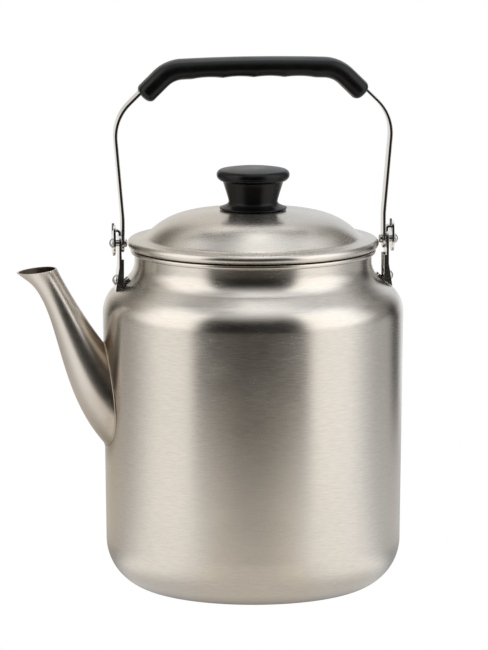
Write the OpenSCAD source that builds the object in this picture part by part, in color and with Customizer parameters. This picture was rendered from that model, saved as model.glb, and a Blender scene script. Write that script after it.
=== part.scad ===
// Large stove kettle: drawn steel body, welded spout, lift-off lid and a swinging bail.
// Origin at the centre of the underside, +Z up. The spout points along -X, which is the front.
// The bail stands in the XZ plane and swings about the X axis. Millimetres.

/* [Body] */
// Outer radius at the top of the wall, where the shoulder begins
body_top_r = 102.1; // [92:0.1:120]
// Outer radius at the foot of the wall, above the bottom corner
body_foot_r = 100.1; // [92:0.1:120]
// Height of the top of the straight wall
wall_top_z = 189.6; // [180:0.1:240]
// Radius of the rounded bottom corner
bottom_corner_r = 34.4; // [15:0.1:45]
// Sheet thickness of the body, spout and lid
sheet = 1; // [0.7:0.05:1.3]

/* [Shoulder, neck and rim] */
// Outer radius of the neck
neck_r = 80.5; // [74:0.1:84]
// Height from the top of the wall to the narrowest part of the neck
shoulder_h = 35.3; // [30:0.1:44]
// Radius of the round shoulder
shoulder_r = 22.4; // [12:0.1:28]
// Radius of the hollow curve between shoulder and neck
neck_fillet_r = 17; // [8:0.1:22]
// Height from the narrowest part of the neck to the middle of the rim bead
rim_rise = 6.8; // [5:0.1:10]
// Outer radius of the rolled rim bead
rim_bead_r = 1.9; // [1.6:0.05:2.6]

/* [Spout] */
// Distance from the body's axis to the middle of the mouth
spout_reach = 145.2; // [140:0.1:160]
// Height of the middle of the mouth
spout_mouth_z = 220.5; // [205:0.1:228]
// Height at which the middle line of the spout leaves its root inside the body
spout_root_z = 128.1; // [110:0.1:135]
// Radius of the spout at its root
spout_root_r = 24.2; // [18:0.1:27]
// Radius towards which the spout tapers
spout_slim_r = 6.4; // [6:0.1:9]
// How fast the taper runs out, a higher number is faster
spout_taper = 1.38; // [1.2:0.01:2]
// Radius that the flared mouth adds
spout_flare = 4.7; // [1:0.1:6]
// Extra reach of the pouring lip
spout_lip = 0.6; // [0:0.1:2]
// Width of the spout's section over its depth
spout_width_ratio = 1.24; // [1:0.01:1.3]
// Downward tilt of the mouth towards its lip, in degrees
spout_mouth_tilt = 6.5; // [0:0.5:12]
// Diameter of the strainer holes in the wall behind the spout
strainer_hole_d = 5; // [4:0.1:6]
// Distance between strainer holes
strainer_pitch = 9.5; // [8.5:0.1:10.5]

/* [Lid] */
// Outer radius of the lid's rolled edge
lid_roll_r = 3; // [2.4:0.05:3.6]
// How far the middle of the lid's roll lies outside the middle of the rim bead
lid_roll_overhang = 0.95; // [0:0.05:1.6]
// Slope of the flange around the dome, in degrees
lid_flange_slope = 4; // [1:0.5:7]
// Radius at which the dome's side meets the flange
lid_dome_r = 74.6; // [68:0.1:76]
// Slope of the dome's side, in degrees
lid_dome_slope = 43; // [35:0.5:50]
// Radius of the curve between the dome's side and its crown
lid_shoulder_r = 45; // [25:0.5:50]
// Radius at which that curve meets the crown
lid_crown_edge_r = 46; // [38:0.1:50]
// Spherical radius of the crown
lid_crown_r = 288; // [220:1:400]
// Radius of the hollow curve between dome and flange
lid_base_fillet_r = 6; // [2:0.1:8]
// Depth of the locating collar under the lid
lid_collar_depth = 15; // [9:0.1:20]

/* [Knob] */
// Radius of the knob's cap
knob_cap_r = 24.8; // [21:0.1:28]
// Height of the knob
knob_h = 27.6; // [24:0.1:32]
// Thickness of the knob's cap
knob_cap_h = 8.6; // [7:0.1:10]
// Radius of the knob's waist at its foot
knob_waist_r = 16.6; // [13:0.1:18]
// Radius of the knob's stem under the cap
knob_stem_r = 21.4; // [18.5:0.1:22.5]
// Radius of the knob's base
knob_base_r = 22.9; // [20:0.1:26]
// Height of the knob's base up to the waist
knob_base_h = 4.4; // [3:0.1:6]

/* [Bail] */
// Width of the bail strip
strip_w = 12.5; // [10:0.1:14]
// Thickness of the bail strip
strip_t = 2; // [1.5:0.05:2.4]
// Height of the pivots above the middle of the rim bead
pivot_rise = 6.3; // [5:0.1:9]
// Height above the pivots at which the strip starts to lean outwards
strip_lean_rise = 18.3; // [14:0.1:30]
// Outward lean of the strip's sides, in degrees
strip_lean = 4.96; // [3:0.01:7]
// Height above the pivots at which the strip's sides and its slanted shoulders would meet
strip_corner_rise = 84.8; // [75:0.1:100]
// Slope of the bail's slanted shoulders, in degrees
strip_slant = 44.5; // [40:0.1:50]
// Radius of the bend between side and slanted shoulder, at the middle of the strip
strip_side_bend_r = 31; // [20:0.1:36]
// Height above the pivots of the straight top of the strip
strip_top_rise = 121.4; // [115:0.1:135]
// Radius of the bend between slanted shoulder and top, at the middle of the strip
strip_top_bend_r = 24.6; // [21:0.1:30]

/* [Grip] */
// Height of the grip's section
grip_h = 14; // [12:0.1:18]
// Width of the grip's section
grip_w = 22; // [18:0.1:28]
// How far the strip lies above the middle of the grip
grip_strip_offset = 2.6; // [0:0.1:3]
// Length of the grip's slanted ends, measured past the bend
grip_end_l = 10.5; // [6:0.1:16]
// Number of finger grooves
groove_count = 4; // [0:1:5]
// Distance between finger grooves
groove_pitch = 21; // [18:0.5:24]
// Depth of a finger groove
groove_depth = 1.1; // [0.4:0.1:1.6]

/* [Lugs] */
// Width of a lug
lug_w = 16; // [14:0.1:20]
// Thickness of a lug's sheet
lug_t = 1.6; // [1.2:0.05:2]
// Gap between a lug's leg and its folded ear
lug_gap = 2.2; // [1.6:0.05:3]
// Height of the folded ear
ear_h = 21; // [18:0.1:26]
// How far the ear's middle lies above the pivot
ear_rise = 1.9; // [0:0.1:3]
// Width of the folded neck that joins ear and leg
fold_w = 7; // [5:0.1:9]
// Height of the fold's bend above the pivot
fold_rise = 6.9; // [5.5:0.1:8]
// Depth of the side flanges that stiffen the leg
flange_d = 1.6; // [1:0.1:2]
// Distance from the pivot down to the top of the side flanges
flange_drop = 12.5; // [11:0.1:14]
// Distance from the pivot down to where the leg starts to lean out
lug_lean_drop = 16; // [12:0.1:18]
// Where the leg is seated on the round shoulder, as a share of the shoulder's angle
lug_seat_share = 0.93; // [0.8:0.01:1]
// Thickness of the hidden bracket welded to the shoulder
bracket_t = 1.5; // [1:0.05:2]

/* [Rivets and knob screw] */
// Diameter of the pivot rivets' shank
pivot_d = 4.4; // [3.6:0.1:5]
// Diameter of the pivot rivets' domed outer head
pivot_head_d = 6.8; // [6:0.1:8]
// Height of the pivot rivets' domed outer head
pivot_head_h = 2.2; // [1.5:0.1:3]
// Diameter of the pivot rivets' inner head
pivot_tail_d = 5.8; // [5.2:0.1:6.4]
// Height of the pivot rivets' inner head
pivot_tail_h = 2; // [1.2:0.1:2.4]
// How far the rear pivot rivet's head stands off its ear
rear_head_standoff = 1.2; // [0:0.1:2]
// Diameter of the foot rivets' shank
foot_rivet_d = 3.2; // [2.6:0.1:3.4]
// Diameter of the foot rivets' domed head
foot_head_d = 7.4; // [6:0.1:8]
// Height of the foot rivets' domed head
foot_head_h = 2.5; // [1.8:0.1:3]
// How much wider than its shank a foot rivet's tail is
foot_tail_spread = 1.2; // [0.8:0.1:1.6]
// Height of a foot rivet's tail
foot_tail_h = 0.8; // [0.6:0.1:1]
// Diameter of the knob screw
screw_d = 4; // [3:0.1:5]

/* [Clearances] */
// Radial play of the bail on its pivot rivets
pivot_play = 0.05; // [0.02:0.01:0.1]
// Gap between the lid's roll and the rim bead
lid_seat_gap = 0.25; // [0.15:0.05:0.4]
// Radial play of the lid's collar in the mouth
collar_play = 0.9; // [0.5:0.05:1.5]
// Gap between the lid's edge and the pivot rivets' inner heads
lid_side_gap = 0.75; // [0.5:0.05:1.5]
// Gap between the bail strip and the lug's leg
strip_side_gap = 0.3; // [0.2:0.05:0.5]
// Gap between the strip and the rivets' inner heads
tail_gap = 0.1; // [0.05:0.01:0.2]
// Room between a foot rivet's tail and the shoulder
foot_tail_room = 1.4; // [0.8:0.1:2.5]
// Gap left at a weld or a fixed fit
fixed_gap = 0.05; // [0.02:0.01:0.1]

/* [Hidden] */
$fn = 96;

STEEL = [0.72, 0.70, 0.67];
BRIGHT_STEEL = [0.82, 0.81, 0.79];
BLACK_PLASTIC = [0.05, 0.05, 0.05];
BRASS = [0.78, 0.62, 0.3];

// ---- Shoulder: two arcs joined by a short straight, limited so that they always meet ----
neck_z = wall_top_z + shoulder_h;
step_in = body_top_r - neck_r;
arc_limit = (step_in * step_in + shoulder_h * shoulder_h) / (2 * step_in);
arc_share = min(1, arc_limit / (shoulder_r + neck_fillet_r));
shoulder_arc_r = shoulder_r * arc_share;
neck_arc_r = neck_fillet_r * arc_share;
arcs_r = shoulder_arc_r + neck_arc_r;
shoulder_straight = sqrt(max(0, pow(arcs_r - step_in, 2) + pow(shoulder_h, 2) - pow(arcs_r, 2)));
shoulder_angle = atan2(shoulder_h, arcs_r - step_in) - atan2(shoulder_straight, arcs_r);

// ---- Rim bead and lid edge ----
mouth_r = neck_r - sheet;
bead_r0 = mouth_r + rim_bead_r;
bead_z = neck_z + rim_rise;
roll_r0 = bead_r0 + lid_roll_overhang;
roll_z = bead_z + sqrt(pow(rim_bead_r + lid_roll_r + lid_seat_gap, 2) - pow(lid_roll_overhang, 2));
lid_edge_r = roll_r0 + lid_roll_r;
roll_top_z = roll_z + lid_roll_r;

// ---- Lid dome, built from the flange up ----
flange_z = roll_top_z + (roll_r0 - lid_dome_r) * tan(lid_flange_slope);
crown_edge_angle = asin(lid_crown_edge_r / lid_crown_r);
dome_foot_room = lid_base_fillet_r * tan((lid_dome_slope - lid_flange_slope) / 2);
dome_shoulder_r = min(
    lid_shoulder_r,
    (lid_dome_r - dome_foot_room * cos(lid_dome_slope) - lid_crown_edge_r)
        / (sin(lid_dome_slope) - sin(crown_edge_angle))
);
dome_side_r = lid_crown_edge_r + dome_shoulder_r * (sin(lid_dome_slope) - sin(crown_edge_angle));
dome_side_z = flange_z + (lid_dome_r - dome_side_r) * tan(lid_dome_slope);
crown_edge_z = dome_side_z + dome_shoulder_r * (cos(crown_edge_angle) - cos(lid_dome_slope));
crown_top_z = crown_edge_z + lid_crown_r * (1 - cos(crown_edge_angle));

// ---- Pivots, strip and lugs, as distances from the body's axis ----
pivot_z = bead_z + pivot_rise;
tail_x = lid_edge_r + lid_side_gap;
strip_x = tail_x + pivot_tail_h + tail_gap;
strip_mid_x = strip_x + strip_t / 2;
leg_x = strip_x + strip_t + strip_side_gap;
ear_x = leg_x + lug_t + lug_gap;
fold_z = pivot_z + fold_rise;
lean_z = pivot_z - lug_lean_drop;
// Slits on both sides of the fold
ear_slit_w = 1;
ear_slit_depth = 1.4;

// The leg's inner face leans out from lean_z down to its seat on the shoulder
seat_angle = shoulder_angle * lug_seat_share;
shoulder_mid_x = body_top_r - shoulder_arc_r;
seat_x = shoulder_mid_x + shoulder_arc_r * cos(seat_angle);
seat_z = wall_top_z + shoulder_arc_r * sin(seat_angle);
lug_lean = atan2(seat_x - leg_x, lean_z - seat_z);
lug_low_z = seat_z - 2 * lug_t / tan(seat_angle);
foot_tail_d = foot_rivet_d + foot_tail_spread;
foot_rivet_z = seat_z + foot_tail_d / 2 + (bracket_t + foot_tail_h + foot_tail_room) / tan(seat_angle);
foot_rivet_x = leg_face(foot_rivet_z);
strip_end_r = strip_w / 2;

// ---- Bail path ----
strip_top_z = pivot_z + strip_top_rise;
strip_lean_z = pivot_z + strip_lean_rise;
strip_corner_z = pivot_z + strip_corner_rise;
strip_corner_x = strip_mid_x + (strip_corner_z - strip_lean_z) * tan(strip_lean);
strip_top_corner_x = strip_corner_x - (strip_top_z - strip_corner_z) / tan(strip_slant);
strip_foot_bend_r = 40;
grip_mid_z = strip_top_z - grip_strip_offset;
grip_bend_r = strip_top_bend_r - grip_strip_offset;
// Rounded to 0.01 mm, so that the grip's straight middle and its bends meet exactly
grip_bend_x = round(100 * (strip_top_corner_x - strip_top_bend_r * tan(strip_slant / 2))) / 100;

// ---- Helpers ----
// Points on an arc in the plane, from angle a0 to a1, about one every four degrees
function arc(c, r, a0, a1, steps = 0) =
    let (n = steps > 0 ? steps : max(2, ceil(abs(a1 - a0) / 4)))
    [for (i = [0:n]) let (a = a0 + (a1 - a0) * i / n) [c[0] + r * cos(a), c[1] + r * sin(a)]];

function unit(v) = v / norm(v);

// A round corner of radius r at point b, between the lines from a and to c
function corner(a, b, c, r) =
    let (
        u = unit(a - b),
        v = unit(c - b),
        half = acos(u * v) / 2,
        mid = b + unit(u + v) * r / sin(half),
        p = b + u * r / tan(half),
        q = b + v * r / tan(half),
        a0 = atan2(p[1] - mid[1], p[0] - mid[0]),
        turn = atan2(q[1] - mid[1], q[0] - mid[0]) - a0,
        a1 = a0 + (turn > 180 ? turn - 360 : turn < -180 ? turn + 360 : turn)
    )
    arc(mid, r, a0, a1);

// Side normals of an open line of points
function line_normal(p, i) =
    let (d = unit(p[min(i + 1, len(p) - 1)] - p[max(i - 1, 0)])) [-d[1], d[0]];

// An open line of points thickened to both sides
function ribbon(p, t) = concat(
    [for (i = [0:len(p) - 1]) p[i] + line_normal(p, i) * t / 2],
    [for (i = [len(p) - 1:-1:0]) p[i] - line_normal(p, i) * t / 2]
);

function reversed(p) = [for (i = [len(p) - 1:-1:0]) p[i]];

// Extrudes an outline drawn in XZ along Y, centred
module along_y(w) {
    rotate([90, 0, 0])
        linear_extrude(height = w, center = true)
            children();
}

// Extrudes an outline drawn in YZ along +X, from x
module along_x(x, t) {
    translate([x, 0, 0])
        rotate([90, 0, 90])
            linear_extrude(height = t)
                children();
}

// A cylinder along +X from x, at height z
module rod_x(x, z, l, d) {
    translate([x, 0, z])
        rotate([0, 90, 0])
            cylinder(d = d, h = l);
}

// A domed rivet head on the XY plane, pointing up
module dome_head(d, h) {
    ball_r = (d * d / 4 + h * h) / (2 * h);
    rise = asin((ball_r - h) / ball_r);
    rotate_extrude()
        polygon(concat([[0, 0]], arc([0, h - ball_r], ball_r, rise, 90)));
}

// The rear side as drawn, or its mirror image at the front
module at_side(front) {
    mirror([front ? 1 : 0, 0, 0])
        children();
}

// ---- Body ----
// Half outline of the body, set inwards by t, from the middle of the base up to the bead
function body_line(t) = concat(
    [[0, t]],
    arc([body_foot_r - bottom_corner_r, bottom_corner_r], bottom_corner_r - t, -90, 0),
    arc([body_top_r - shoulder_arc_r, wall_top_z], shoulder_arc_r - t, 0, shoulder_angle),
    arc([neck_r + neck_arc_r, neck_z], neck_arc_r + t, 180 + shoulder_angle, 180)
);

// The rim is rolled outwards and down: inner side of the roll, then its outer side
function rim_curl() =
    let (curl_end = -95, mid = [bead_r0, bead_z])
    concat(arc(mid, rim_bead_r - sheet, 180, curl_end, 28), arc(mid, rim_bead_r, curl_end, 180, 28));

// Radius of the wall's outside at height z
function wall_r(z) =
    body_foot_r + (body_top_r - body_foot_r) * (z - bottom_corner_r) / (wall_top_z - bottom_corner_r);

// The body's outer form as one solid, used to cut what stands on it
module body_form(gap) {
    rotate_extrude()
        polygon(concat(
            [[0, 0]],
            body_line(-gap),
            [[neck_r + gap, bead_z], [0, bead_z]]
        ));
}

// Staggered rows of holes through the wall, inside an oval that the spout's root covers
module strainer_holes() {
    rows = 2;
    oval = 2.2 * strainer_pitch;
    oval_height_ratio = 0.75;
    cut_l = spout_root_r;
    for (i = [-rows:rows])
        for (j = [-rows:rows]) {
            y = (j + (i % 2 == 0 ? 0 : 0.5)) * strainer_pitch;
            z = i * strainer_pitch * sin(60);
            if (norm([y, z * oval_height_ratio]) < oval)
                translate([-wall_r(spout_seat_z + z) - cut_l / 2, y, spout_seat_z + z])
                    rotate([0, 90, 0])
                        cylinder(d = strainer_hole_d, h = cut_l);
        }
}

module body_shell() {
    color(STEEL)
        difference() {
            rotate_extrude()
                polygon(concat(body_line(0), rim_curl(), reversed(body_line(sheet))));
            strainer_holes();
        }
}

// ---- Spout ----
// Middle line of the spout: a curve through the XZ plane, from t = 0 inside the body to t = 1.
// It leaves its root and reaches the mouth along the lines to these two guide points.
spout_root_depth = 7.6;
root_guide_out = 16.8;
root_guide_up = 25;
mouth_guide_back = 19.2;
mouth_guide_down = 27.2;
spout_ends = [
    [-(body_foot_r - spout_root_depth), spout_root_z],
    [-(body_foot_r + root_guide_out), spout_root_z + root_guide_up],
    [-(spout_reach - mouth_guide_back), spout_mouth_z - mouth_guide_down],
    [-spout_reach, spout_mouth_z]
];

// Beyond t = 1 the curve runs on straight, and so does the flare
function spout_mid(t) = t > 1
    ? spout_ends[3] + 3 * (t - 1) * (spout_ends[3] - spout_ends[2])
    : pow(1 - t, 3) * spout_ends[0] + 3 * pow(1 - t, 2) * t * spout_ends[1]
        + 3 * (1 - t) * t * t * spout_ends[2] + pow(t, 3) * spout_ends[3];

function spout_dir(t) = unit(spout_mid(t + 0.001) - spout_mid(t - 0.001));

spout_flare_rate = 6.6;

function spout_r(t) =
    spout_slim_r
    + (spout_root_r - spout_slim_r) * pow(1 - min(1, t), spout_taper)
    + spout_flare * (t > 1 ? 1 + spout_flare_rate * (t - 1) : pow(max(0, t), spout_flare_rate));

// The pouring lip reaches out over the last stretch of the spout's outer side
spout_lip_rate = 14;
function lip_reach(t, a) =
    spout_lip * pow(min(1, max(0, t)), spout_lip_rate) * pow(max(0, cos(a)), 4);

// A point of the spout's skin: t along it, a around it (0 is its outer side), inset by s
function spout_point(t, a, s) =
    let (
        m = spout_mid(t),
        d = spout_dir(t),
        side = (spout_r(t) - s + lip_reach(t, a)) * cos(a)
    )
    [m[0] - d[1] * side, (spout_width_ratio * spout_r(t) - s) * sin(a), m[1] + d[0] * side];

// How far a point lies outside the body's wall, and above the plane of the mouth
function off_wall(p) = norm([p[0], p[1]]) - wall_r(p[2]) - fixed_gap;
function above_mouth(p) = p[2] - spout_mouth_z - (p[0] + spout_reach) * tan(spout_mouth_tilt);

// Halving search for the place on line a where the skin meets the wall or the mouth's plane
function find_wall(a, s, lo, hi, n = 24) =
    n == 0 ? (lo + hi) / 2
    : let (m = (lo + hi) / 2)
      off_wall(spout_point(m, a, s)) < 0 ? find_wall(a, s, m, hi, n - 1) : find_wall(a, s, lo, m, n - 1);
function find_mouth(a, s, lo, hi, n = 24) =
    n == 0 ? (lo + hi) / 2
    : let (m = (lo + hi) / 2)
      above_mouth(spout_point(m, a, s)) < 0 ? find_mouth(a, s, m, hi, n - 1) : find_mouth(a, s, lo, m, n - 1);

spout_lines = 40;
spout_rings = 18;

function spout_line(a, s) =
    let (t0 = find_wall(a, s, -0.25, 0.7), t1 = find_mouth(a, s, 0.7, 1.3))
    [for (k = [0:spout_rings]) spout_point(t0 + (t1 - t0) * k / spout_rings, a, s)];

// Heights of the spout's seat on the wall, along its lower and upper line
spout_seat_low = spout_point(find_wall(0, 0, -0.25, 0.7), 0, 0)[2];
spout_seat_high = spout_point(find_wall(180, 0, -0.25, 0.7), 180, 0)[2];
spout_seat_z = (spout_seat_low + spout_seat_high) / 2;

module spout() {
    rings = spout_rings + 1;
    outer = [for (j = [0:spout_lines - 1]) spout_line(360 * j / spout_lines, 0)];
    inner = [for (j = [0:spout_lines - 1]) spout_line(360 * j / spout_lines, sheet)];
    points = concat([for (l = outer) each l], [for (l = inner) each l]);
    o = function (j, k) (j % spout_lines) * rings + k;
    i = function (j, k) spout_lines * rings + (j % spout_lines) * rings + k;
    skin = [
        for (j = [0:spout_lines - 1]) for (k = [0:spout_rings - 1]) each [
            [o(j, k), o(j, k + 1), o(j + 1, k + 1)],
            [o(j, k), o(j + 1, k + 1), o(j + 1, k)],
            [i(j, k), i(j + 1, k + 1), i(j, k + 1)],
            [i(j, k), i(j + 1, k), i(j + 1, k + 1)]
        ]
    ];
    ends = [
        for (j = [0:spout_lines - 1]) each [
            [o(j, 0), o(j + 1, 0), i(j + 1, 0)],
            [o(j, 0), i(j + 1, 0), i(j, 0)],
            [o(j, spout_rings), i(j + 1, spout_rings), o(j + 1, spout_rings)],
            [o(j, spout_rings), i(j, spout_rings), i(j + 1, spout_rings)]
        ]
    ];
    color(STEEL)
        polyhedron(points = points, faces = concat(skin, ends));
}

// ---- Lugs ----
// Inner face of the leg at height z below its lean
function leg_face(z) = leg_x + max(0, lean_z - z) * tan(lug_lean);

module lug_leg() {
    low = lug_low_z;
    along_y(lug_w)
        polygon([
            [leg_face(low), low], [leg_face(low) + lug_t, low],
            [leg_x + lug_t, lean_z], [leg_x + lug_t, pivot_z],
            [leg_x, pivot_z], [leg_x, lean_z]
        ]);
    for (s = [-1, 1])
        translate([0, s * (lug_w - lug_t) / 2, 0])
            along_y(lug_t)
                polygon([
                    [leg_x - flange_d, low], [leg_face(low), low], [leg_x, lean_z],
                    [leg_x, pivot_z - flange_drop], [leg_x - flange_d, pivot_z - flange_drop]
                ]);
}

// The rounded top of the leg, up to the fold
module lug_head() {
    top_r = fold_z - pivot_z;
    along_x(leg_x, lug_t)
        union() {
            translate([-lug_w / 2, pivot_z - 1])
                square([lug_w, 1]);
            intersection() {
                translate([0, pivot_z])
                    circle(r = lug_w / 2);
                translate([-lug_w / 2, pivot_z])
                    square([lug_w, top_r - ear_slit_depth]);
            }
            translate([-fold_w / 2, pivot_z])
                square([fold_w, top_r]);
        }
}

module lug_fold() {
    translate([leg_x + lug_t + lug_gap / 2, 0, fold_z])
        along_y(fold_w)
            intersection() {
                difference() {
                    circle(r = lug_gap / 2 + lug_t);
                    circle(r = lug_gap / 2);
                }
                translate([-lug_t - lug_gap, 0])
                    square([2 * (lug_t + lug_gap), lug_t + lug_gap]);
            }
}

// The folded ear, slit on both sides of the fold
module lug_ear() {
    half = lug_w / 2;
    mid_z = pivot_z + ear_rise;
    reach = max(0, ear_h / 2 - half);
    along_x(ear_x, lug_t)
        union() {
            difference() {
                union() {
                    translate([0, mid_z - reach])
                        circle(r = half);
                    translate([0, mid_z + reach])
                        circle(r = half);
                    translate([-half, mid_z - reach])
                        square([lug_w, 2 * reach]);
                }
                translate([-fold_w / 2 - ear_slit_w, fold_z - ear_slit_depth])
                    square([fold_w + 2 * ear_slit_w, ear_h]);
            }
            translate([-fold_w / 2, fold_z - ear_slit_depth - 1])
                square([fold_w, ear_slit_depth + 1]);
        }
}

module lug(front) {
    bore_d = pivot_d + 2 * pivot_play;
    color(BRIGHT_STEEL)
        at_side(front)
            difference() {
                union() {
                    lug_leg();
                    lug_head();
                    lug_fold();
                    lug_ear();
                }
                body_form(fixed_gap);
                rod_x(leg_x - 1, pivot_z, ear_x - leg_x + lug_t + 2, bore_d);
                foot_rivet_place()
                    translate([0, 0, -bracket_t - 1])
                        cylinder(d = foot_rivet_d + 2 * fixed_gap, h = lug_t + bracket_t + 2);
            }
}

// Puts its children on the leg's inner face at the foot rivet, with +Z square to the leg
module foot_rivet_place() {
    translate([foot_rivet_x, 0, foot_rivet_z])
        rotate([0, 90 - lug_lean, 0])
            children();
}

// A sheet of thickness t that follows the shoulder, round the whole body
module shoulder_band(t, gap, from_angle, to_angle) {
    rotate_extrude()
        polygon(concat(
            shoulder_line(gap, from_angle, to_angle),
            reversed(shoulder_line(gap + t, from_angle, to_angle))
        ));
}

// Outline of the shoulder, offset outwards, from an angle on its round part to one on its hollow part
function shoulder_line(gap, from_angle, to_angle) = concat(
    arc([shoulder_mid_x, wall_top_z], shoulder_arc_r + gap, from_angle, shoulder_angle),
    arc([neck_r + neck_arc_r, neck_z], neck_arc_r - gap, 180 + shoulder_angle, to_angle)
);

// Hidden bracket: a foot welded along the shoulder and an upright leaf inside the lug.
// The foot is forked, so that the rivet's tail can be set between its tongues.
module lug_bracket(front) {
    side_room = 0.4;
    tail_room = 0.6;
    leaf_w = lug_w - 2 * (lug_t + side_room);
    leaf_top = min(lean_z - 1, foot_rivet_z + 1.4 * foot_tail_d);
    low = lug_low_z;
    back = bracket_t + fixed_gap;
    fork_w = foot_tail_d + 2 * tail_room;
    tongue_w = (leaf_w - fork_w) / 2;
    foot_in_angle = 222;
    foot_out_x = seat_x - back / 2;
    color(STEEL)
        at_side(front)
            difference() {
                union() {
                    along_y(leaf_w)
                        polygon([
                            [leg_face(low) - back, low], [leg_face(low) - fixed_gap, low],
                            [leg_face(leaf_top) - fixed_gap, leaf_top], [leg_face(leaf_top) - back, leaf_top]
                        ]);
                    for (y = [-leaf_w / 2, leaf_w / 2 - tongue_w])
                        intersection() {
                            shoulder_band(bracket_t, fixed_gap, shoulder_angle / 2, foot_in_angle);
                            translate([0, y, low])
                                cube([foot_out_x, tongue_w, shoulder_h]);
                        }
                }
                body_form(fixed_gap);
                foot_rivet_place()
                    translate([0, 0, -bracket_t - 1])
                        cylinder(d = foot_rivet_d + 2 * fixed_gap, h = lug_t + bracket_t + 2);
            }
}

module foot_rivet(front) {
    grip = lug_t + bracket_t + 3 * fixed_gap;
    color(BRIGHT_STEEL)
        at_side(front)
            foot_rivet_place()
                translate([0, 0, -bracket_t - 2 * fixed_gap])
                    union() {
                        cylinder(d = foot_rivet_d, h = grip);
                        translate([0, 0, grip])
                            dome_head(foot_head_d, foot_head_h);
                        translate([0, 0, -foot_tail_h])
                            cylinder(d = foot_tail_d, h = foot_tail_h);
                    }
}

module pivot_rivet(front, standoff) {
    head_x = ear_x + lug_t + fixed_gap + standoff;
    color(BRIGHT_STEEL)
        at_side(front)
            translate([tail_x, 0, pivot_z])
                rotate([0, 90, 0])
                    union() {
                        rotate_extrude()
                            polygon([
                                [0, 0], [pivot_tail_d / 2 - 0.7, 0], [pivot_tail_d / 2, 0.7],
                                [pivot_tail_d / 2, pivot_tail_h], [pivot_d / 2, pivot_tail_h],
                                [pivot_d / 2, head_x - tail_x], [0, head_x - tail_x]
                            ]);
                        translate([0, 0, head_x - tail_x])
                            dome_head(pivot_head_d, pivot_head_h);
                    }
}

// ---- Bail ----
// Right half of the strip's middle line, from its end below the pivot to the middle of the top
function strip_half() =
    let (
        foot = [strip_mid_x, pivot_z - strip_end_r],
        lean = [strip_mid_x, strip_lean_z],
        side = [strip_corner_x, strip_corner_z],
        top = [strip_top_corner_x, strip_top_z],
        mid = [0, strip_top_z]
    )
    concat(
        [foot],
        corner(foot, lean, side, strip_foot_bend_r),
        corner(lean, side, top, strip_side_bend_r),
        corner(side, top, mid, strip_top_bend_r)
    );

function strip_line() =
    let (h = strip_half())
    concat(h, [for (p = reversed(h)) [-p[0], p[1]]]);

module strip_form(t, w) {
    along_y(w)
        polygon(ribbon(strip_line(), t));
}

module bail_strip() {
    reach = strip_corner_x + strip_t;
    color(BRIGHT_STEEL)
        difference() {
            intersection() {
                strip_form(strip_t, strip_w);
                union() {
                    rod_x(-reach, pivot_z, 2 * reach, strip_w);
                    translate([-reach, -strip_w / 2, pivot_z])
                        cube([2 * reach, strip_w, strip_top_rise + strip_t]);
                }
            }
            rod_x(-reach, pivot_z, 2 * reach, pivot_d + 2 * pivot_play);
        }
}

// Section of the grip: a flat oval, drawn with its middle at the origin
module grip_section() {
    flat = max(0.1, grip_w - grip_h);
    translate([0, -flat / 2])
        circle(d = grip_h);
    translate([0, flat / 2])
        circle(d = grip_h);
    translate([-grip_h / 2, -flat / 2])
        square([grip_h, flat]);
}

module half_grip_section() {
    intersection() {
        grip_section();
        translate([0, -grip_w])
            square([grip_h, 2 * grip_w]);
    }
}

// One end of the grip: the bend, the slanted run and the round end
module grip_end() {
    reach = 2 * (grip_bend_r + grip_h + grip_w);
    translate([grip_bend_x, 0, grip_mid_z - grip_bend_r]) {
        intersection() {
            rotate([90, 0, 0])
                rotate_extrude(angle = 90)
                    translate([grip_bend_r, 0])
                        grip_section();
            rotate([0, strip_slant, 0])
                translate([-reach, -reach / 2, 0])
                    cube([reach, reach, reach]);
        }
        rotate([0, strip_slant, 0])
            translate([0, 0, grip_bend_r]) {
                rotate([0, 90, 0])
                    linear_extrude(height = grip_end_l)
                        grip_section();
                translate([grip_end_l, 0, 0])
                    rotate([90, 0, 0])
                        rotate([0, 0, -90])
                            rotate_extrude(angle = 180)
                                half_grip_section();
            }
    }
}

// Shallow hollows for the fingers, cut across the underside
module finger_grooves() {
    half_chord = groove_pitch * 0.42;
    cut_r = (half_chord * half_chord + groove_depth * groove_depth) / (2 * groove_depth);
    if (groove_count > 0)
        for (i = [0:groove_count - 1])
            translate([
                (i - (groove_count - 1) / 2) * groove_pitch,
                grip_w,
                grip_mid_z - grip_h / 2 + groove_depth - cut_r
            ])
                rotate([90, 0, 0])
                    cylinder(r = cut_r, h = 2 * grip_w, $fn = 180);
}

module bail_grip() {
    color(BLACK_PLASTIC)
        difference() {
            union() {
                translate([-grip_bend_x, 0, grip_mid_z])
                    rotate([0, 90, 0])
                        linear_extrude(height = 2 * grip_bend_x)
                            grip_section();
                grip_end();
                mirror([1, 0, 0])
                    grip_end();
            }
            finger_grooves();
            strip_form(strip_t + 2 * fixed_gap, strip_w + 2 * fixed_gap);
        }
}

// ---- Lid ----
// Half outline of the lid's upper side, set inwards by t, from the flange's edge to the middle
function lid_line(t) =
    let (
        s = lid_flange_slope,
        g = lid_dome_slope,
        fillet_mid_r = lid_dome_r
            + dome_foot_room * cos(s) + lid_base_fillet_r * sin(s),
        fillet_mid_z = flange_z
            - dome_foot_room * sin(s) + lid_base_fillet_r * cos(s),
        shoulder_mid = [
            dome_side_r - dome_shoulder_r * sin(g),
            dome_side_z - dome_shoulder_r * cos(g)
        ]
    )
    concat(
        arc([fillet_mid_r, fillet_mid_z], lid_base_fillet_r + t, 270 - s, 270 - g),
        arc(shoulder_mid, dome_shoulder_r - t, 90 - g, 90 - crown_edge_angle),
        arc([0, crown_top_z - lid_crown_r], lid_crown_r - t, 90 - crown_edge_angle, 90, 10)
    );

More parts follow.
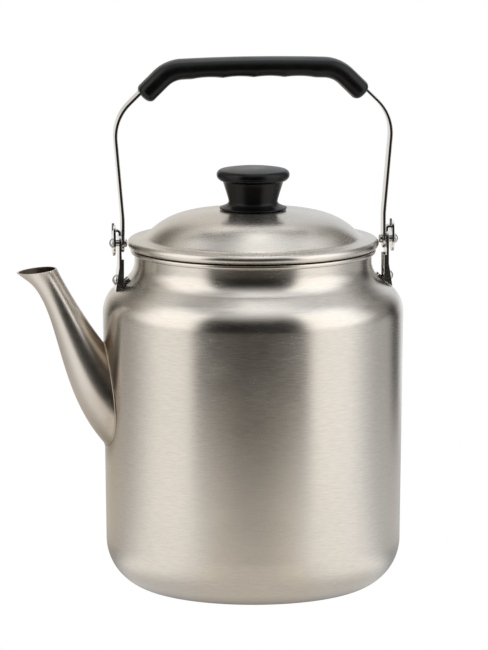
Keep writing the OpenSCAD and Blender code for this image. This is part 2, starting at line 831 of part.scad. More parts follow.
// The rolled edge: from the flange over the outside and back under it
function lid_roll(r, a0, a1) = arc([roll_r0, roll_z], r, a0, a1, 28);

module lid_shell() {
    roll_end = -160;
    roll_start = 90 - lid_flange_slope;
    color(STEEL)
        difference() {
            rotate_extrude()
                polygon(concat(
                    lid_roll(lid_roll_r, roll_end, roll_start),
                    lid_line(0),
                    reversed(lid_line(sheet)),
                    lid_roll(lid_roll_r - sheet, roll_start, roll_end)
                ));
            translate([0, 0, crown_top_z - 3 * sheet])
                cylinder(d = screw_d + 0.4, h = 6 * sheet);
        }
}

// Height of the flange's underside at radius r
function under_flange(r) =
    flange_z + (lid_dome_r - r) * tan(lid_flange_slope) - sheet / cos(lid_flange_slope);

module lid_collar() {
    collar_t = 0.8;
    collar_r = mouth_r - collar_play;
    leaf_r = min(collar_r - collar_t, lid_dome_r + 1.8);
    low_z = bead_z + rim_bead_r - lid_collar_depth;
    top_out = under_flange(collar_r) - fixed_gap;
    top_in = under_flange(leaf_r) - fixed_gap;
    color(STEEL)
        rotate_extrude()
            polygon([
                [collar_r, top_out], [leaf_r, top_in], [leaf_r, top_in - collar_t],
                [collar_r - collar_t, top_out - collar_t], [collar_r - collar_t, low_z + 2],
                [collar_r - collar_t - 1, low_z], [collar_r - 1, low_z], [collar_r, low_z + 2]
            ]);
}

// ---- Knob ----
module lid_knob() {
    cap_low = knob_h - knob_cap_h;
    edge_r = 3.6;
    base_lip = 0.9;
    crown_drop = 1;
    base_gap = fixed_gap;
    sweep_r = (knob_base_h - base_lip) * 1.1;
    color(BLACK_PLASTIC)
        translate([0, 0, crown_top_z + base_gap])
            difference() {
                rotate_extrude()
                    polygon(concat(
                        [[0, 0], [knob_base_r - 0.5, 0], [knob_base_r, 0.5]],
                        [[knob_base_r, base_lip]],
                        corner(
                            [knob_base_r, base_lip], [knob_waist_r + 0.6, base_lip + 1.6],
                            [knob_waist_r, knob_base_h + 2], sweep_r * 0.6
                        ),
                        [[knob_waist_r + 0.1, knob_base_h + 0.4]],
                        [[knob_stem_r, cap_low], [knob_stem_r + 0.6, cap_low + 0.1]],
                        arc([knob_cap_r - edge_r, cap_low + edge_r], edge_r, -60, 0),
                        arc([knob_cap_r - edge_r, knob_h - crown_drop - edge_r], edge_r, 0, 75),
                        [[knob_cap_r * 0.6, knob_h - 0.35], [knob_cap_r * 0.3, knob_h - 0.08], [0, knob_h]]
                    ));
                translate([0, 0, -1])
                    cylinder(d = insert_d + 2 * fixed_gap, h = insert_l + fixed_gap + 1);
            }
}

insert_d = 8;
insert_l = 12;
insert_wall_end = 1;

// Threaded metal insert moulded into the knob; its thread is drawn as a plain bore
module knob_insert() {
    color(BRASS)
        translate([0, 0, crown_top_z + fixed_gap])
            difference() {
                cylinder(d = insert_d, h = insert_l);
                translate([0, 0, -1])
                    cylinder(d = screw_d + 2 * fixed_gap, h = insert_l - insert_wall_end + 1);
            }
}

washer_d = 13;
washer_t = 1;
head_d = 7.6;
head_h = 2.4;

module knob_washer() {
    color(BRIGHT_STEEL)
        translate([0, 0, crown_top_z - sheet - fixed_gap - crown_sink(washer_d / 2) - washer_t])
            difference() {
                cylinder(d = washer_d, h = washer_t);
                translate([0, 0, -1])
                    cylinder(d = screw_d + 0.4, h = washer_t + 2);
            }
}

// How far the crown's underside has dropped at radius r
function crown_sink(r) =
    (lid_crown_r - sheet) - sqrt(pow(lid_crown_r - sheet, 2) - r * r);

module knob_screw() {
    seat_z = crown_top_z - sheet - 2 * fixed_gap - crown_sink(washer_d / 2) - washer_t;
    tip_z = crown_top_z + insert_l - insert_wall_end - 1;
    color(BRIGHT_STEEL)
        difference() {
            union() {
                translate([0, 0, seat_z])
                    cylinder(d = screw_d, h = tip_z - seat_z);
                translate([0, 0, seat_z])
                    mirror([0, 0, 1])
                        dome_head(head_d, head_h);
            }
            translate([-head_d, -0.6, seat_z - head_h - 1])
                cube([2 * head_d, 1.2, 2]);
        }
}

module front_lug_bracket() lug_bracket(true);
module rear_lug_bracket() lug_bracket(false);
module front_lug() lug(true);
module rear_lug() lug(false);
module front_foot_rivet() foot_rivet(true);
module rear_foot_rivet() foot_rivet(false);
module front_pivot_rivet() pivot_rivet(true, 0);
module rear_pivot_rivet() pivot_rivet(false, rear_head_standoff);

body_shell();
spout();
front_lug_bracket();
front_lug();
front_foot_rivet();
front_pivot_rivet();
rear_lug_bracket();
rear_lug();
rear_foot_rivet();
rear_pivot_rivet();
bail_strip();
bail_grip();
lid_shell();
lid_collar();
lid_knob();
knob_insert();
knob_screw();
knob_washer();
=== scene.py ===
import math

import bmesh
import bpy
from mathutils import Matrix, Vector


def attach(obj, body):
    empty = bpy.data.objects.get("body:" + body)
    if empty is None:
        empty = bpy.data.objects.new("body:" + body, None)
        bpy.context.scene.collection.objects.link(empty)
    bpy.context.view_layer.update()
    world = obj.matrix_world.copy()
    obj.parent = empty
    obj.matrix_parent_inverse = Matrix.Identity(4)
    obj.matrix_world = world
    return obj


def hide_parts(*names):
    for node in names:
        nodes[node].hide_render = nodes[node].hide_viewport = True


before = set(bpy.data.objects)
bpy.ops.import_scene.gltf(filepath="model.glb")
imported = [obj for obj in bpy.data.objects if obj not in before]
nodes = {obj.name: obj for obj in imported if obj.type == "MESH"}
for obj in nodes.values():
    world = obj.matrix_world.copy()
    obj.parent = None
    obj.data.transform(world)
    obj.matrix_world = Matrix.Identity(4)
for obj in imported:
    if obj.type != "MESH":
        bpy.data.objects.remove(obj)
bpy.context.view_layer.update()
MM = 0.001


# ---------------------------------------------------------------- sizes
# In mm, and the part's own, but for the shoulder's two arcs, which follow the photo
BODY_TOP_R, BODY_FOOT_R, WALL_TOP_Z = 102.1, 100.1, 189.6
CORNER_R, SHEET = 34.4, 1.0
NECK_R, SHOULDER_H, SHOULDER_R, NECK_ARC_R = 80.5, 35.3, 21.4, 16.6
NECK_Z = WALL_TOP_Z + SHOULDER_H
BEAD_R, BEAD_R0, BEAD_Z = 1.9, 81.4, 231.7
ROLL_R, ROLL_R0 = 3.0, 82.35
LID_SEAT_GAP, FIXED_GAP = 0.25, 0.05
ROLL_Z = BEAD_Z + math.sqrt((BEAD_R + ROLL_R + LID_SEAT_GAP) ** 2 - (ROLL_R0 - BEAD_R0) ** 2)


# ---------------------------------------------------------------- drawing helpers
def arc(c, r, a0, a1, n):
    """Points on an arc from angle a0 to a1, in degrees."""
    return [
        (c[0] + r * math.cos(math.radians(a0 + (a1 - a0) * i / n)),
         c[1] + r * math.sin(math.radians(a0 + (a1 - a0) * i / n)))
        for i in range(n + 1)
    ]


def link(name, verts, faces, sharp=35):
    """A new smooth-shaded object from vertices in mm."""
    me = bpy.data.meshes.new(name)
    me.from_pydata([(v[0] * MM, v[1] * MM, v[2] * MM) for v in verts], [], faces)
    me.validate()
    me.update()
    ob = bpy.data.objects.new(name, me)
    bpy.context.scene.collection.objects.link(ob)
    smooth(ob, sharp)
    return ob


def smooth(ob, sharp=35):
    me = ob.data
    for p in me.polygons:
        p.use_smooth = True
    me.set_sharp_from_angle(angle=math.radians(sharp))


def revolve(name, pts, seg=192, sharp=35, closed=False):
    """Turns a line of (r, z) points about the Z axis. A closed line goes back to its first point."""
    verts, faces, rings = [], [], []
    for r, z in pts:
        if abs(r) < 1e-6:
            rings.append([len(verts)])
            verts.append((0, 0, z))
        else:
            rings.append(list(range(len(verts), len(verts) + seg)))
            for i in range(seg):
                a = 2 * math.pi * i / seg
                verts.append((r * math.cos(a), r * math.sin(a), z))
    pairs = list(zip(rings, rings[1:]))
    if closed:
        pairs.append((rings[-1], rings[0]))
    for a, b in pairs:
        for i in range(seg):
            j = (i + 1) % seg
            if len(a) == 1 and len(b) == 1:
                continue
            if len(a) == 1:
                faces.append((a[0], b[j], b[i]))
            elif len(b) == 1:
                faces.append((a[i], a[j], b[0]))
            else:
                faces.append((a[i], a[j], b[j], b[i]))
    return link(name, verts, faces, sharp)


def loft(name, rings, sharp=35, loop=False, cap=False):
    """Skins a list of rings of points in mm, each ring closed."""
    n = len(rings[0])
    verts = [p for r in rings for p in r]
    faces = []
    count = len(rings)
    for k in range(count if loop else count - 1):
        a, b = k * n, ((k + 1) % count) * n
        for i in range(n):
            j = (i + 1) % n
            faces.append((a + i, a + j, b + j, b + i))
    if cap:
        faces.append(tuple(range(n - 1, -1, -1)))
        faces.append(tuple((count - 1) * n + i for i in range(n)))
    return link(name, verts, faces, sharp)


def flip_out(ob):
    """Makes the faces of a closed mesh point outwards."""
    bm = bmesh.new()
    bm.from_mesh(ob.data)
    bmesh.ops.recalc_face_normals(bm, faces=bm.faces)
    bm.to_mesh(ob.data)
    bm.free()
    return ob


MERGE_DIST, FLAT_DEG, ROUNDED_DEG = 0.002 * MM, 0.5, 40


def softened(node, width, sharp=14, reshape=None):
    """A copy of a CAD node with its flat faces whole and its edges rounded.
    reshape gives each vertex's lift in mm from its place in mm, sides taken as positive."""
    me = nodes[node].data.copy()
    bm = bmesh.new()
    bm.from_mesh(me)
    bmesh.ops.remove_doubles(bm, verts=bm.verts, dist=MERGE_DIST)
    bmesh.ops.dissolve_limit(bm, angle_limit=math.radians(FLAT_DEG), verts=bm.verts, edges=bm.edges)
    if reshape:
        for v in bm.verts:
            v.co.z += reshape(abs(v.co.x) / MM, abs(v.co.y) / MM, v.co.z / MM) * MM
    bm.to_mesh(me)
    bm.free()
    ob = bpy.data.objects.new(node + "_soft", me)
    bpy.context.scene.collection.objects.link(ob)
    mod = ob.modifiers.new("edges", "BEVEL")
    mod.width = width * MM
    mod.segments = 2
    mod.limit_method = "ANGLE"
    mod.angle_limit = math.radians(ROUNDED_DEG)
    mod.use_clamp_overlap = True
    apply_modifiers(ob)
    smooth(ob, sharp)
    return ob


def apply_modifiers(ob):
    dg = bpy.context.evaluated_depsgraph_get()
    me = bpy.data.meshes.new_from_object(ob.evaluated_get(dg), depsgraph=dg)
    ob.modifiers.clear()
    ob.data = me


def place(ob, body, replaces, material):
    """Gives a piece its material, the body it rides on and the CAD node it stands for."""
    ob.data.materials.clear()
    ob.data.materials.append(material)
    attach(ob, body)
    if replaces:
        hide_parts(replaces)
    return ob


# ---------------------------------------------------------------- materials
class Nodes:
    """A short way to write a node tree."""

    def __init__(self, name):
        self.mat = bpy.data.materials.new(name)
        self.mat.use_nodes = True
        self.t = self.mat.node_tree
        self.t.nodes.clear()
        self.out = self.t.nodes.new("ShaderNodeOutputMaterial")
        self.p = self.t.nodes.new("ShaderNodeBsdfPrincipled")
        self.t.links.new(self.p.outputs[0], self.out.inputs[0])

    def put(self, socket, value):
        if isinstance(value, bpy.types.NodeSocket):
            self.t.links.new(value, socket)
        else:
            socket.default_value = value

    def node(self, kind, props=None, **inputs):
        n = self.t.nodes.new("ShaderNode" + kind)
        for k, v in (props or {}).items():
            setattr(n, k, v)
        for k, v in inputs.items():
            self.put(n.inputs[int(k[1:])] if k[0] == "i" and k[1:].isdigit() else n.inputs[k], v)
        return n

    def math(self, op, a, b=0.0, clamp=False):
        n = self.node("Math", {"operation": op, "use_clamp": clamp}, i0=a, i1=b)
        return n.outputs[0]

    def radius(self, x, y):
        flat = self.node("CombineXYZ", None, i0=x, i1=y).outputs[0]
        return self.node("VectorMath", {"operation": "LENGTH"}, i0=flat).outputs["Value"]

    def tinted(self, colour, tone):
        """The colour, made lighter or darker by tone: 0.1 adds a tenth."""
        dark, light = [c * 0.5 for c in colour], [c * 1.5 for c in colour]
        return self.ramp(self.math("ADD", tone, 0.5, True), [(0.0, dark), (1.0, light)])

    def coords(self):
        return self.node("TexCoord").outputs["Object"]

    def scaled(self, vec, scale, rotation=(0, 0, 0)):
        return self.node("Mapping", None, Vector=vec, Scale=scale, Rotation=rotation).outputs[0]

    def noise(self, vec, scale, detail=2.0, rough=0.5):
        n = self.node("TexNoise", None, Vector=vec, Scale=scale, Detail=detail, Roughness=rough)
        return n.outputs[0]

    def span(self, value, lo, hi, to_lo, to_hi, smooth_step=False):
        n = self.node("MapRange", {"interpolation_type": "SMOOTHSTEP" if smooth_step else "LINEAR"},
                      i0=value, i1=lo, i2=hi, i3=to_lo, i4=to_hi)
        return n.outputs[0]

    def ramp(self, value, stops):
        n = self.node("ValToRGB", None, i0=value)
        e = n.color_ramp.elements
        while len(e) < len(stops):
            e.new(0.5)
        for el, (pos, col) in zip(e, stops):
            el.position = pos
            el.color = (*col, 1)
        return n.outputs[0]

    def bump(self, height, strength, distance):
        return self.node("Bump", None, Strength=strength, Distance=distance, Height=height).outputs[0]


# Painted shade by the spout's root, a browner, darker colour standing in for the dark reflections between spout and
# wall: on the spout it fades with the distance from the axis, on the wall outside an oval. In metres
TINT_R, TINT_OVAL_Z, TINT_OVAL_W, TINT_OVAL_H = (0.101, 0.124), 0.140, 0.030, 0.043
TINT_FADE, TINT_FRONT_X = (1.0, 1.32), (-0.06, -0.04)
ROOT_SHADE_TINT = (0.62, 0.57, 0.50)
# Painted shade: a near-black colour in the seam under the lid's edge, standing in for the crevice's shade, as
# heights above the bead's top, in metres
SEAM_PAINTED_SHADE, SEAM_Z = (0.035, 0.032, 0.028), (BEAD_Z + BEAD_R) * MM
SEAM_ON_BEAD, SEAM_ON_ROLL, SEAM_R = (-0.00045, -0.00015), (0.00035, 0.0009), (0.0795, 0.0805)


def painted_root_shade(m, pos, part):
    """How strongly the painted shade darkens the steel towards brown beside the spout's root and weld, in uneven
    blotches.
    """
    x, y, z = m.node("SeparateXYZ", None, i0=pos).outputs
    if part == "spout":
        near = m.span(m.radius(x, y), *TINT_R, 1.0, 0.0, True)
    else:
        q = m.radius(m.math("MULTIPLY", y, 1 / TINT_OVAL_W),
                     m.math("MULTIPLY", m.math("SUBTRACT", z, TINT_OVAL_Z), 1 / TINT_OVAL_H))
        near = m.math("MULTIPLY", m.span(q, *TINT_FADE, 1.0, 0.0, True), m.span(x, *TINT_FRONT_X, 1.0, 0.0))
    blotch = m.noise(pos, 90.0, 3.0, 0.6)
    return m.math("MULTIPLY", near, m.span(blotch, 0.3, 0.7, 0.65, 1.0))


def painted_seam_shade(m, z, r):
    """How strongly the painted shade darkens the steel in the narrow seam between the lid's roll (r given) and the
    body's bead.
    """
    if r is None:
        return m.span(z, *(SEAM_Z + h for h in SEAM_ON_BEAD), 0.0, 1.0, True)
    return m.math("MULTIPLY", m.span(z, *(SEAM_Z + h for h in SEAM_ON_ROLL), 1.0, 0.0, True),
                  m.span(r, *SEAM_R, 0.0, 1.0))


# Scales of the noise along the brush, across it, and of the cloudy and smeared patches
ALONG, FINE_ACROSS, BROAD_ACROSS = {"wall": 95, "rings": 70, "spout": 60}, 3600, 1500
CLOUD_SCALE, SMEAR_SCALE, BRUSH_TONE = (14, 14, 9), (38, 38, 60), 0.055


def steel(name, colour, rough, aniso, lines, brush=1.0):
    """Brushed sheet steel. lines says how the brush ran: round the wall, in rings on the lid,
    or along the spout. brush is the strength of its marks."""
    m = Nodes(name)
    pos = m.coords()
    x, y, z = m.node("SeparateXYZ", None, i0=pos).outputs
    r, run = None, pos
    if lines == "rings":
        r = m.radius(x, y)
        run = m.node("CombineXYZ", None, i0=x, i1=y, i2=m.math("SUBTRACT", r, z)).outputs[0]
    along = ALONG[lines]
    fine = m.noise(m.scaled(run, (along, along, FINE_ACROSS)), 1.0, 1.0, 0.5)
    broad = m.noise(m.scaled(run, (along * 1.6, along * 1.6, BROAD_ACROSS)), 1.0, 1.0, 0.5)
    cloud = m.noise(m.scaled(pos, CLOUD_SCALE), 1.0, 3.0, 0.55)
    smear = m.noise(m.scaled(pos, SMEAR_SCALE), 1.0, 4.0, 0.6)
    both = m.math("ADD", m.math("MULTIPLY", fine, 0.3), m.math("MULTIPLY", broad, 0.7))
    base = m.tinted(colour, m.math("ADD", m.span(both, 0.3, 0.7, -BRUSH_TONE * brush, BRUSH_TONE * brush),
                                   m.span(cloud, 0.3, 0.7, -0.025, 0.025)))
    # painted shade near the spout's root: a browner, darker colour on the spout and on the wall beside it
    if lines != "rings":
        root_shaded = [c * k for c, k in zip(colour, ROOT_SHADE_TINT)]
        base = m.node("MixRGB", None, i0=painted_root_shade(m, pos, lines), i1=base, i2=(*root_shaded, 1)).outputs[0]
    # painted shade: the steel turns near-black in the seam between the lid's roll and the body's bead
    if lines != "spout":
        base = m.node("MixRGB", None, i0=painted_seam_shade(m, z, r), i1=base, i2=(*SEAM_PAINTED_SHADE, 1)).outputs[0]
    m.put(m.p.inputs["Base Color"], base)
    m.p.inputs["Metallic"].default_value = 1.0
    m.put(m.p.inputs["Roughness"], m.math("ADD", m.span(smear, 0.3, 0.7, -0.02, 0.02),
                                          m.span(both, 0.3, 0.7, rough - 0.02, rough + 0.02)))
    if aniso:
        m.p.inputs["Anisotropic"].default_value = aniso
        m.p.inputs["Anisotropic Rotation"].default_value = 0.25
        tan = m.node("Tangent", {"direction_type": "RADIAL", "axis": "Z"})
        m.put(m.p.inputs["Tangent"], tan.outputs[0])
    m.put(m.p.inputs["Normal"], m.bump(both, 0.05 * brush, 0.00008))
    return m.mat


def plain_steel(name, colour, rough, grain=(900, 900, 900)):
    """Rolled or formed steel, with a fine grain and faintly duller patches."""
    m = Nodes(name)
    pos = m.coords()
    fine = m.noise(m.scaled(pos, grain), 1.0, 2.0, 0.5)
    patch = m.noise(pos, 160.0, 3.0, 0.5)
    m.put(m.p.inputs["Base Color"], m.tinted(colour, m.math("ADD", m.span(fine, 0.3, 0.7, -0.03, 0.03),
                                                            m.span(patch, 0.3, 0.7, -0.05, 0.05))))
    m.p.inputs["Metallic"].default_value = 1.0
    m.put(m.p.inputs["Roughness"], m.math("ADD", m.span(fine, 0.3, 0.7, rough - 0.015, rough + 0.02),
                                          m.span(patch, 0.3, 0.7, -0.02, 0.03)))
    m.put(m.p.inputs["Normal"], m.bump(fine, 0.05, 0.00005))
    return m.mat


PLASTIC_DEEP, PLASTIC_WORN = (0.002, 0.002, 0.002), (0.005, 0.005, 0.005)


def black_plastic(name, rough, shine):
    """Moulded black plastic with a fine grain, dulled where hands hold it."""
    m = Nodes(name)
    pos = m.coords()
    fine = m.noise(pos, 1400.0, 2.0, 0.6)
    worn = m.noise(pos, 60.0, 4.0, 0.6)
    m.put(m.p.inputs["Base Color"], m.ramp(worn, [(0.30, PLASTIC_DEEP), (0.70, PLASTIC_WORN)]))
    m.put(m.p.inputs["Roughness"], m.math("ADD", m.span(worn, 0.3, 0.7, rough - 0.05, rough + 0.07),
                                          m.span(fine, 0.3, 0.7, -0.03, 0.03)))
    m.p.inputs["Specular IOR Level"].default_value = shine
    m.put(m.p.inputs["Normal"], m.bump(fine, 0.18, 0.00008))
    return m.mat


WARM = (0.665, 0.615, 0.55)
body_steel = steel("body_brushed", WARM, 0.25, 0.35, "wall")
lid_steel = steel("lid_brushed", WARM, 0.27, 0.65, "rings")
spout_steel = steel("spout_brushed", WARM, 0.31, 0.0, "spout", brush=0.6)
# The spout's inside: dull unpolished steel, made darker still as painted shade inside the spout
spout_inside = plain_steel("spout_inside", (0.085, 0.068, 0.05), 0.5)
strip_steel = plain_steel("strip_steel", (0.62, 0.60, 0.565), 0.14, (1500, 200, 200))
lug_steel = plain_steel("lug_steel", (0.70, 0.68, 0.645), 0.14)
rivet_steel = plain_steel("rivet_steel", (0.62, 0.605, 0.58), 0.13)
knob_black = black_plastic("knob_black", 0.30, 0.27)
grip_black = black_plastic("grip_black", 0.30, 0.30)
brass = plain_steel("insert_brass", (0.62, 0.45, 0.20), 0.3)


# ---------------------------------------------------------------- body
def shoulder_angle():
    """Turn of the shoulder's arcs, joined by a short straight."""
    step = BODY_TOP_R - NECK_R
    arcs = SHOULDER_R + NECK_ARC_R
    straight = math.sqrt(max(0, (arcs - step) ** 2 + SHOULDER_H ** 2 - arcs ** 2))
    return math.degrees(math.atan2(SHOULDER_H, arcs - step) - math.atan2(straight, arcs))


TURN = shoulder_angle()


def body_line(t):
    """The body's line from its middle to the neck, inset by t."""
    low, high = BODY_FOOT_R - t, BODY_TOP_R - t
    rise = WALL_TOP_Z - CORNER_R
    wall = [(low + (high - low) * i / 40, CORNER_R + rise * i / 40) for i in range(1, 40)]
    return (
        [(0, t), (30, t), (55, t)]
        + arc((BODY_FOOT_R - CORNER_R, CORNER_R), CORNER_R - t, -90, 0, 40) + wall
        + arc((BODY_TOP_R - SHOULDER_R, WALL_TOP_Z), SHOULDER_R - t, 0, TURN, 30)
        + arc((NECK_R + NECK_ARC_R, NECK_Z), NECK_ARC_R + t, 180 + TURN, 180, 30)
    )


def wall_r(z):
    return BODY_FOOT_R + (BODY_TOP_R - BODY_FOOT_R) * (z - CORNER_R) / (WALL_TOP_Z - CORNER_R)


CURL_END = -95
curl = (arc((BEAD_R0, BEAD_Z), BEAD_R - SHEET, 180, CURL_END, 20)
        + arc((BEAD_R0, BEAD_Z), BEAD_R, CURL_END, 180, 36))
body = revolve("body", body_line(0) + curl + body_line(SHEET)[::-1], 256)
flip_out(body)


# ---------------------------------------------------------------- spout
SPOUT_REACH, MOUTH_Z, MOUTH_TILT, ROOT_Z = 145.2, 220.5, 6.5, 128.1
ROOT_DEPTH, ROOT_GUIDE_OUT, ROOT_GUIDE_UP, MOUTH_GUIDE_BACK, MOUTH_GUIDE_DOWN = 7.6, 16.8, 25, 19.2, 27.2
ENDS = [
    (-(BODY_FOOT_R - ROOT_DEPTH), ROOT_Z), (-(BODY_FOOT_R + ROOT_GUIDE_OUT), ROOT_Z + ROOT_GUIDE_UP),
    (-(SPOUT_REACH - MOUTH_GUIDE_BACK), MOUTH_Z - MOUTH_GUIDE_DOWN), (-SPOUT_REACH, MOUTH_Z)
]
ROOT_R, SLIM_R, TAPER, FLARE, FLARE_RATE, LIP, LIP_RATE, WIDE = 24.2, 6.4, 1.38, 4.7, 6.6, 0.6, 14, 1.24
ROOT_SEARCH, MOUTH_SEARCH = (-0.25, 0.7), (0.7, 1.3)


def spout_mid(t):
    """The spout's middle line in the XZ plane. Beyond t = 1 it runs on straight."""
    if t > 1:
        return tuple(ENDS[3][i] + 3 * (t - 1) * (ENDS[3][i] - ENDS[2][i]) for i in (0, 1))
    w = ((1 - t) ** 3, 3 * (1 - t) ** 2 * t, 3 * (1 - t) * t * t, t ** 3)
    return tuple(sum(w[k] * ENDS[k][i] for k in range(4)) for i in (0, 1))


def spout_dir(t):
    a, b = spout_mid(t - 0.001), spout_mid(t + 0.001)
    n = math.hypot(b[0] - a[0], b[1] - a[1])
    return ((b[0] - a[0]) / n, (b[1] - a[1]) / n)


def spout_r(t):
    flare = 1 + FLARE_RATE * (t - 1) if t > 1 else max(0, t) ** FLARE_RATE
    return SLIM_R + (ROOT_R - SLIM_R) * (1 - min(1, t)) ** TAPER + FLARE * flare


def spout_point(t, a, s):
    """A point of the skin: t along it, a around it (0 is its outer side), inset by s."""
    m, d = spout_mid(t), spout_dir(t)
    lip = LIP * min(1, max(0, t)) ** LIP_RATE * max(0, math.cos(a)) ** 4
    side = (spout_r(t) - s + lip) * math.cos(a)
    return (m[0] - d[1] * side, (WIDE * spout_r(t) - s) * math.sin(a), m[1] + d[0] * side)


def halve(test, lo, hi):
    """Where test turns from true to false between lo and hi."""
    for _ in range(40):
        mid = (lo + hi) / 2
        if test(mid):
            lo = mid
        else:
            hi = mid
    return (lo + hi) / 2


def root_t(a, s):
    def inside(t):
        p = spout_point(t, a, s)
        return math.hypot(p[0], p[1]) < wall_r(p[2]) + FIXED_GAP
    return halve(inside, *ROOT_SEARCH)


def mouth_t(a, s):
    def below(t):
        p = spout_point(t, a, s)
        return p[2] < MOUTH_Z + (p[0] + SPOUT_REACH) * math.tan(math.radians(MOUTH_TILT))
    return halve(below, *MOUTH_SEARCH)


def spout_rings(s, count, lines=128):
    """Rings of the skin inset by s, from the seam on the wall to the mouth's plane."""
    ends = [(a, root_t(a, s), mouth_t(a, s)) for a in (2 * math.pi * j / lines for j in range(lines))]
    return [[spout_point(t0 + (t1 - t0) * k / count, a, s) for a, t0, t1 in ends] for k in range(count + 1)]


STRAINER_HOLE, STRAINER_PITCH = 5.0, 9.5
STRAINER_ROWS, STRAINER_OVAL, OVAL_HEIGHT_RATIO = 2, 2.2 * STRAINER_PITCH, 0.75


def cut_holes(ob):
    """Cuts the strainer: staggered holes through the wall, inside an oval that the spout's root covers."""
    seat_z = (spout_point(root_t(0, 0), 0, 0)[2] + spout_point(root_t(math.pi, 0), math.pi, 0)[2]) / 2
    tool = bmesh.new()
    for i in range(-STRAINER_ROWS, STRAINER_ROWS + 1):
        for j in range(-STRAINER_ROWS, STRAINER_ROWS + 1):
            y = (j + (0 if i % 2 == 0 else 0.5)) * STRAINER_PITCH
            z = i * STRAINER_PITCH * math.sin(math.radians(60))
            if math.hypot(y, z * OVAL_HEIGHT_RATIO) < STRAINER_OVAL:
                at = Matrix.Translation(Vector((-wall_r(seat_z + z), y, seat_z + z)) * MM)
                bmesh.ops.create_cone(tool, cap_ends=True, segments=28, radius1=STRAINER_HOLE / 2 * MM,
                                      radius2=STRAINER_HOLE / 2 * MM, depth=ROOT_R * MM,
                                      matrix=at @ Matrix.Rotation(math.radians(90), 4, "Y"))
    me = bpy.data.meshes.new("strainer_tool")
    tool.to_mesh(me)
    tool.free()
    cutter = bpy.data.objects.new("strainer_tool", me)
    bpy.context.scene.collection.objects.link(cutter)
    mod = ob.modifiers.new("holes", "BOOLEAN")
    mod.operation = "DIFFERENCE"
    mod.solver = "EXACT"
    mod.object = cutter
    apply_modifiers(ob)
    bpy.data.objects.remove(cutter)
    smooth(ob)


cut_holes(body)

outer = spout_rings(0, 64)
inner = spout_rings(SHEET, 48)
# the mouth's edge is rounded over: two rings across the sheet keep their height, the skins' last rings are lowered
EDGE_SHARE, EDGE_DROP = 0.18, 0.12


def across(ring_a, ring_b, share):
    return [tuple(p[i] + share * (q[i] - p[i]) for i in range(3)) for p, q in zip(ring_a, ring_b)]


edge_rings = [across(outer[-1], inner[-1], share) for share in (EDGE_SHARE, 1 - EDGE_SHARE)]
for skin in (outer, inner):
    skin[-1] = [(p[0], p[1], p[2] - EDGE_DROP) for p in skin[-1]]
spout = loft("spout_skin", outer + edge_rings + inner[::-1], 50, loop=True)
flip_out(spout)

# the weld bead along the spout's root, of slightly uneven size
WELD_SIZE, WELD_UNEVEN, WELD_OUT, WELD_SIDES = 0.75, ((0.08, 2.4, 0), (0.05, 5.1, 1)), 0.1, 12
seam = outer[0]
lines = len(seam)
weld_rings = []
for j in range(lines):
    p = Vector(seam[j])
    along = (Vector(seam[(j + 1) % lines]) - Vector(seam[j - 1])).normalized()
    out = Vector((p.x, p.y, 0)).normalized()
    side = along.cross(out).normalized()
    size = WELD_SIZE + sum(k * math.sin(j * rate + start) for k, rate, start in WELD_UNEVEN)
    weld_rings.append([tuple(p + out * (WELD_OUT + size * 0.8 * math.cos(b)) + side * size * 1.2 * math.sin(b))
                       for b in [2 * math.pi * i / WELD_SIDES for i in range(WELD_SIDES)]])
weld = loft("spout_weld", weld_rings, 60, loop=True)
flip_out(weld)


# ---------------------------------------------------------------- lid
FLANGE_SLOPE, DOME_R, DOME_SLOPE, DOME_FILLET = 4.0, 74.6, 43.0, 6.0
LID_SHOULDER_R, CROWN_EDGE_R, CROWN_R = 45.0, 46.0, 288.0


def dsin(a):
    return math.sin(math.radians(a))


def dcos(a):
    return math.cos(math.radians(a))


def dtan(a):
    return math.tan(math.radians(a))


FLANGE_Z = ROLL_Z + ROLL_R + (ROLL_R0 - DOME_R) * dtan(FLANGE_SLOPE)
CROWN_A = math.degrees(math.asin(CROWN_EDGE_R / CROWN_R))
ROOM = DOME_FILLET * dtan((DOME_SLOPE - FLANGE_SLOPE) / 2)
SINES = dsin(DOME_SLOPE) - dsin(CROWN_A)
SHOULDER_LID = min(LID_SHOULDER_R, (DOME_R - ROOM * dcos(DOME_SLOPE) - CROWN_EDGE_R) / SINES)
SIDE_R = CROWN_EDGE_R + SHOULDER_LID * SINES
SIDE_Z = FLANGE_Z + (DOME_R - SIDE_R) * dtan(DOME_SLOPE)
CROWN_TOP = SIDE_Z + SHOULDER_LID * (dcos(CROWN_A) - dcos(DOME_SLOPE)) + CROWN_R * (1 - dcos(CROWN_A))


def lid_line(t):
    """The lid's line from the flange to the crown's middle, inset by t."""
    s, g = FLANGE_SLOPE, DOME_SLOPE
    foot = (DOME_R + ROOM * dcos(s) + DOME_FILLET * dsin(s), FLANGE_Z - ROOM * dsin(s) + DOME_FILLET * dcos(s))
    shoulder = (SIDE_R - SHOULDER_LID * dsin(g), SIDE_Z - SHOULDER_LID * dcos(g))
    return (
        arc(foot, DOME_FILLET + t, 270 - s, 270 - g, 14)
        + arc(shoulder, SHOULDER_LID - t, 90 - g, 90 - CROWN_A, 24)
        + arc((0, CROWN_TOP - CROWN_R), CROWN_R - t, 90 - CROWN_A, 90, 24)[1:]
    )


ROLL_START, ROLL_END = -160, 90 - FLANGE_SLOPE
lid_pts = (
    arc((ROLL_R0, ROLL_Z), ROLL_R, ROLL_START, ROLL_END, 44) + lid_line(0) + lid_line(SHEET)[::-1]
    + arc((ROLL_R0, ROLL_Z), ROLL_R - SHEET, ROLL_END, ROLL_START, 30)
)
lid = revolve("lid", [(0.0 if abs(r) < 1e-3 else r, z) for r, z in lid_pts], 224, closed=True)
flip_out(lid)


